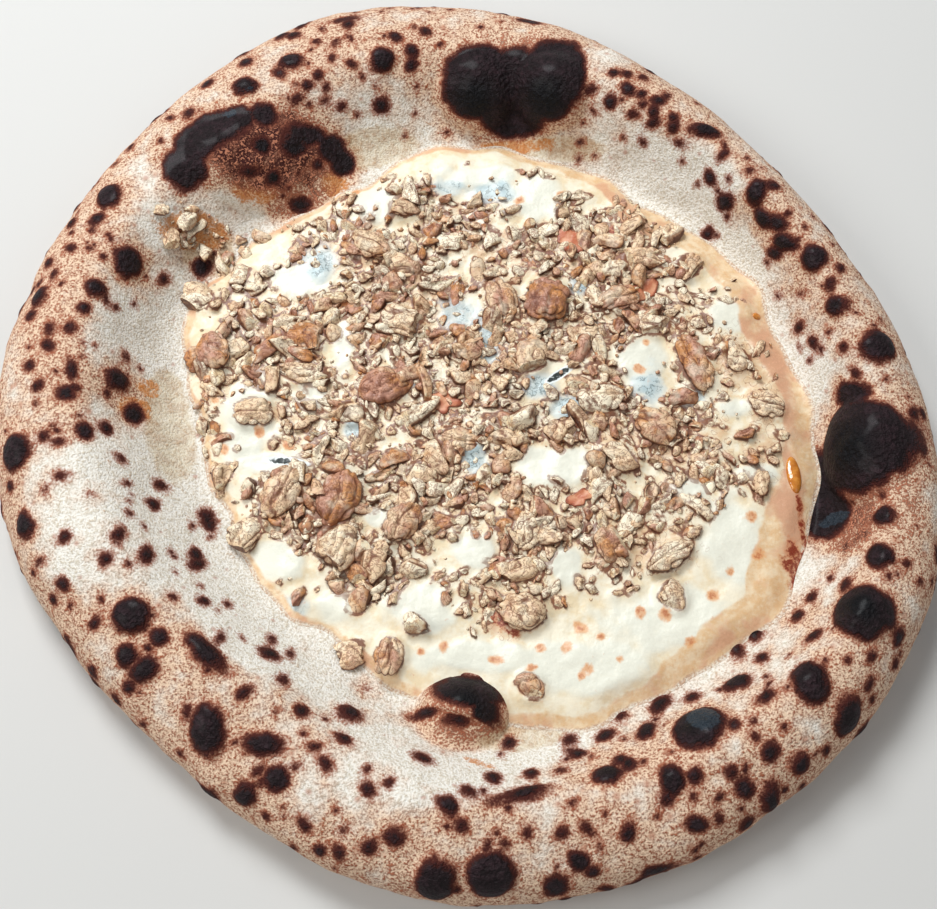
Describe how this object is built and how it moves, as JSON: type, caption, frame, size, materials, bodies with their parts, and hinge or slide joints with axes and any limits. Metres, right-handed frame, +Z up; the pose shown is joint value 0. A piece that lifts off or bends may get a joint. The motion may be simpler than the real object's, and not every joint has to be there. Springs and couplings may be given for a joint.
{
  "type": "gorgonzola walnut pizza",
  "caption": "Whole uncut wood-fired pizza with a puffed, char-spotted rim, a well of melted white and blue cheese, broken walnut kernels and scraps of ham.",
  "frame": {"origin": "under the middle of the pizza, on the surface that it lies on", "axes": "+Z up out of the cheese, -Y towards the eater, +X to the eater's right"},
  "size_m": [0.3228, 0.3302, 0.0342],
  "materials": {
    "dough": "floury baked dough, cream to tan, with brown to black char spots and blisters",
    "cheese": "glossy melted cheese, creamy white, with grey-blue patches and orange toasted dots",
    "walnut": "toasted walnut, tan with darker brown skin and cream broken faces, slightly oily",
    "ham": "thin cooked cured ham, red to pink, oily"
  },
  "bodies": {
    "root": {"dough": "dough", "cheese": "cheese", "ham_1": "ham", "ham_2": "ham", "ham_3": "ham", "ham_4": "ham", "walnut_half_1": "walnut", "walnut_half_2": "walnut", "walnut_half_3": "walnut", "walnut_half_4": "walnut", "walnut_half_5": "walnut", "walnut_half_6": "walnut", "walnut_half_7": "walnut", "walnut_half_8": "walnut", "walnut_half_9": "walnut", "walnut_half_10": "walnut", "walnut_half_11": "walnut", "walnut_half_12": "walnut", "walnut_half_13": "walnut", "walnut_half_14": "walnut", "walnut_half_15": "walnut", "walnut_half_16": "walnut", "walnut_half_17": "walnut", "walnut_quarter_1": "walnut", "walnut_quarter_2": "walnut", "walnut_quarter_3": "walnut", "walnut_quarter_4": "walnut", "walnut_quarter_5": "walnut", "walnut_quarter_6": "walnut", "walnut_quarter_7": "walnut", "walnut_quarter_8": "walnut", "walnut_quarter_9": "walnut", "walnut_quarter_10": "walnut", "walnut_quarter_11": "walnut", "walnut_quarter_12": "walnut", "walnut_quarter_13": "walnut", "walnut_quarter_14": "walnut", "walnut_quarter_15": "walnut", "walnut_quarter_16": "walnut", "walnut_chunk_1": "walnut", "walnut_chunk_2": "walnut", "walnut_chunk_3": "walnut", "walnut_chunk_4": "walnut", "walnut_chunk_5": "walnut", "walnut_chunk_6": "walnut", "walnut_chunk_7": "walnut", "walnut_chunk_8": "walnut", "walnut_chunk_9": "walnut", "walnut_chunk_10": "walnut"}
  },
  "joints": []
}
